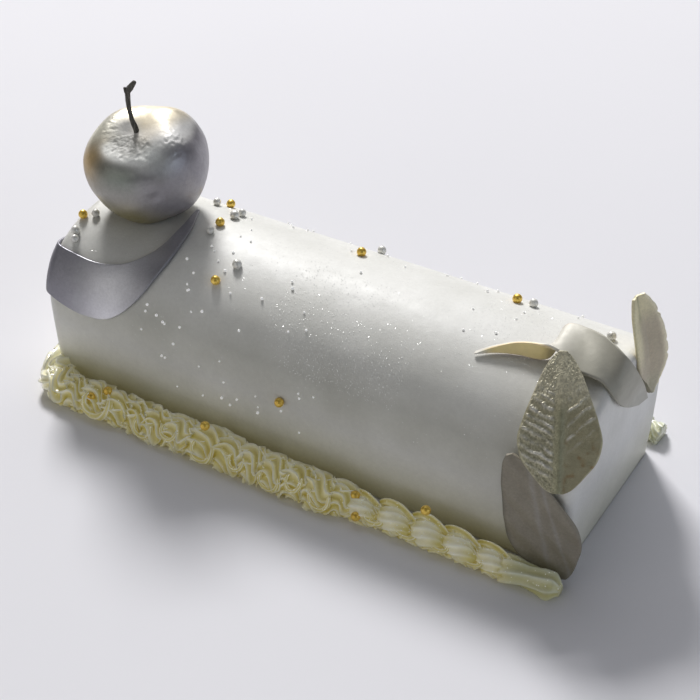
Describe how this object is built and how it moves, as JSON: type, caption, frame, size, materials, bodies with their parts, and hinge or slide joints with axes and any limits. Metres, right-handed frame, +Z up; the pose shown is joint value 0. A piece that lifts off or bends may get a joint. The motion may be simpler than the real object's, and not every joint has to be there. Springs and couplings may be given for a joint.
{
  "type": "mirror glaze cake",
  "caption": "Log-shaped cake under a pearly satin glaze, with piped cream round its foot, a silvered apple and band at one end, and a pale curl and moulded leaves at the other.",
  "frame": {"origin": "centre of the log's flat base, on the surface that the cake stands on", "axes": "+X along the log towards the end with the leaves, +Z up, -Y the front side"},
  "size_m": [0.268, 0.1341, 0.1361],
  "materials": {
    "satin_glaze": "pearly white satin glaze with fine glitter",
    "piped_cream": "soft pale yellow buttercream",
    "silver_lustre": "silver leaf and lustre, slightly crinkled",
    "bark": "dry woody stalk",
    "lilac_lustre": "lilac silver lustre on set chocolate",
    "ivory_strip": "smooth ivory chocolate",
    "olive_lustre": "olive grey lustre with silver grit on the veins",
    "taupe_lustre": "pearly taupe",
    "cream_lustre": "cream with grey brown shading"
  },
  "bodies": {
    "root": {"cake_log": "satin_glaze", "piped_border": "piped_cream", "apple": "silver_lustre", "apple_stem": "bark", "silver_band": "lilac_lustre", "pale_curl": "ivory_strip", "front_leaf": "olive_lustre", "lower_leaf": "taupe_lustre", "end_leaf": "cream_lustre"}
  },
  "joints": []
}
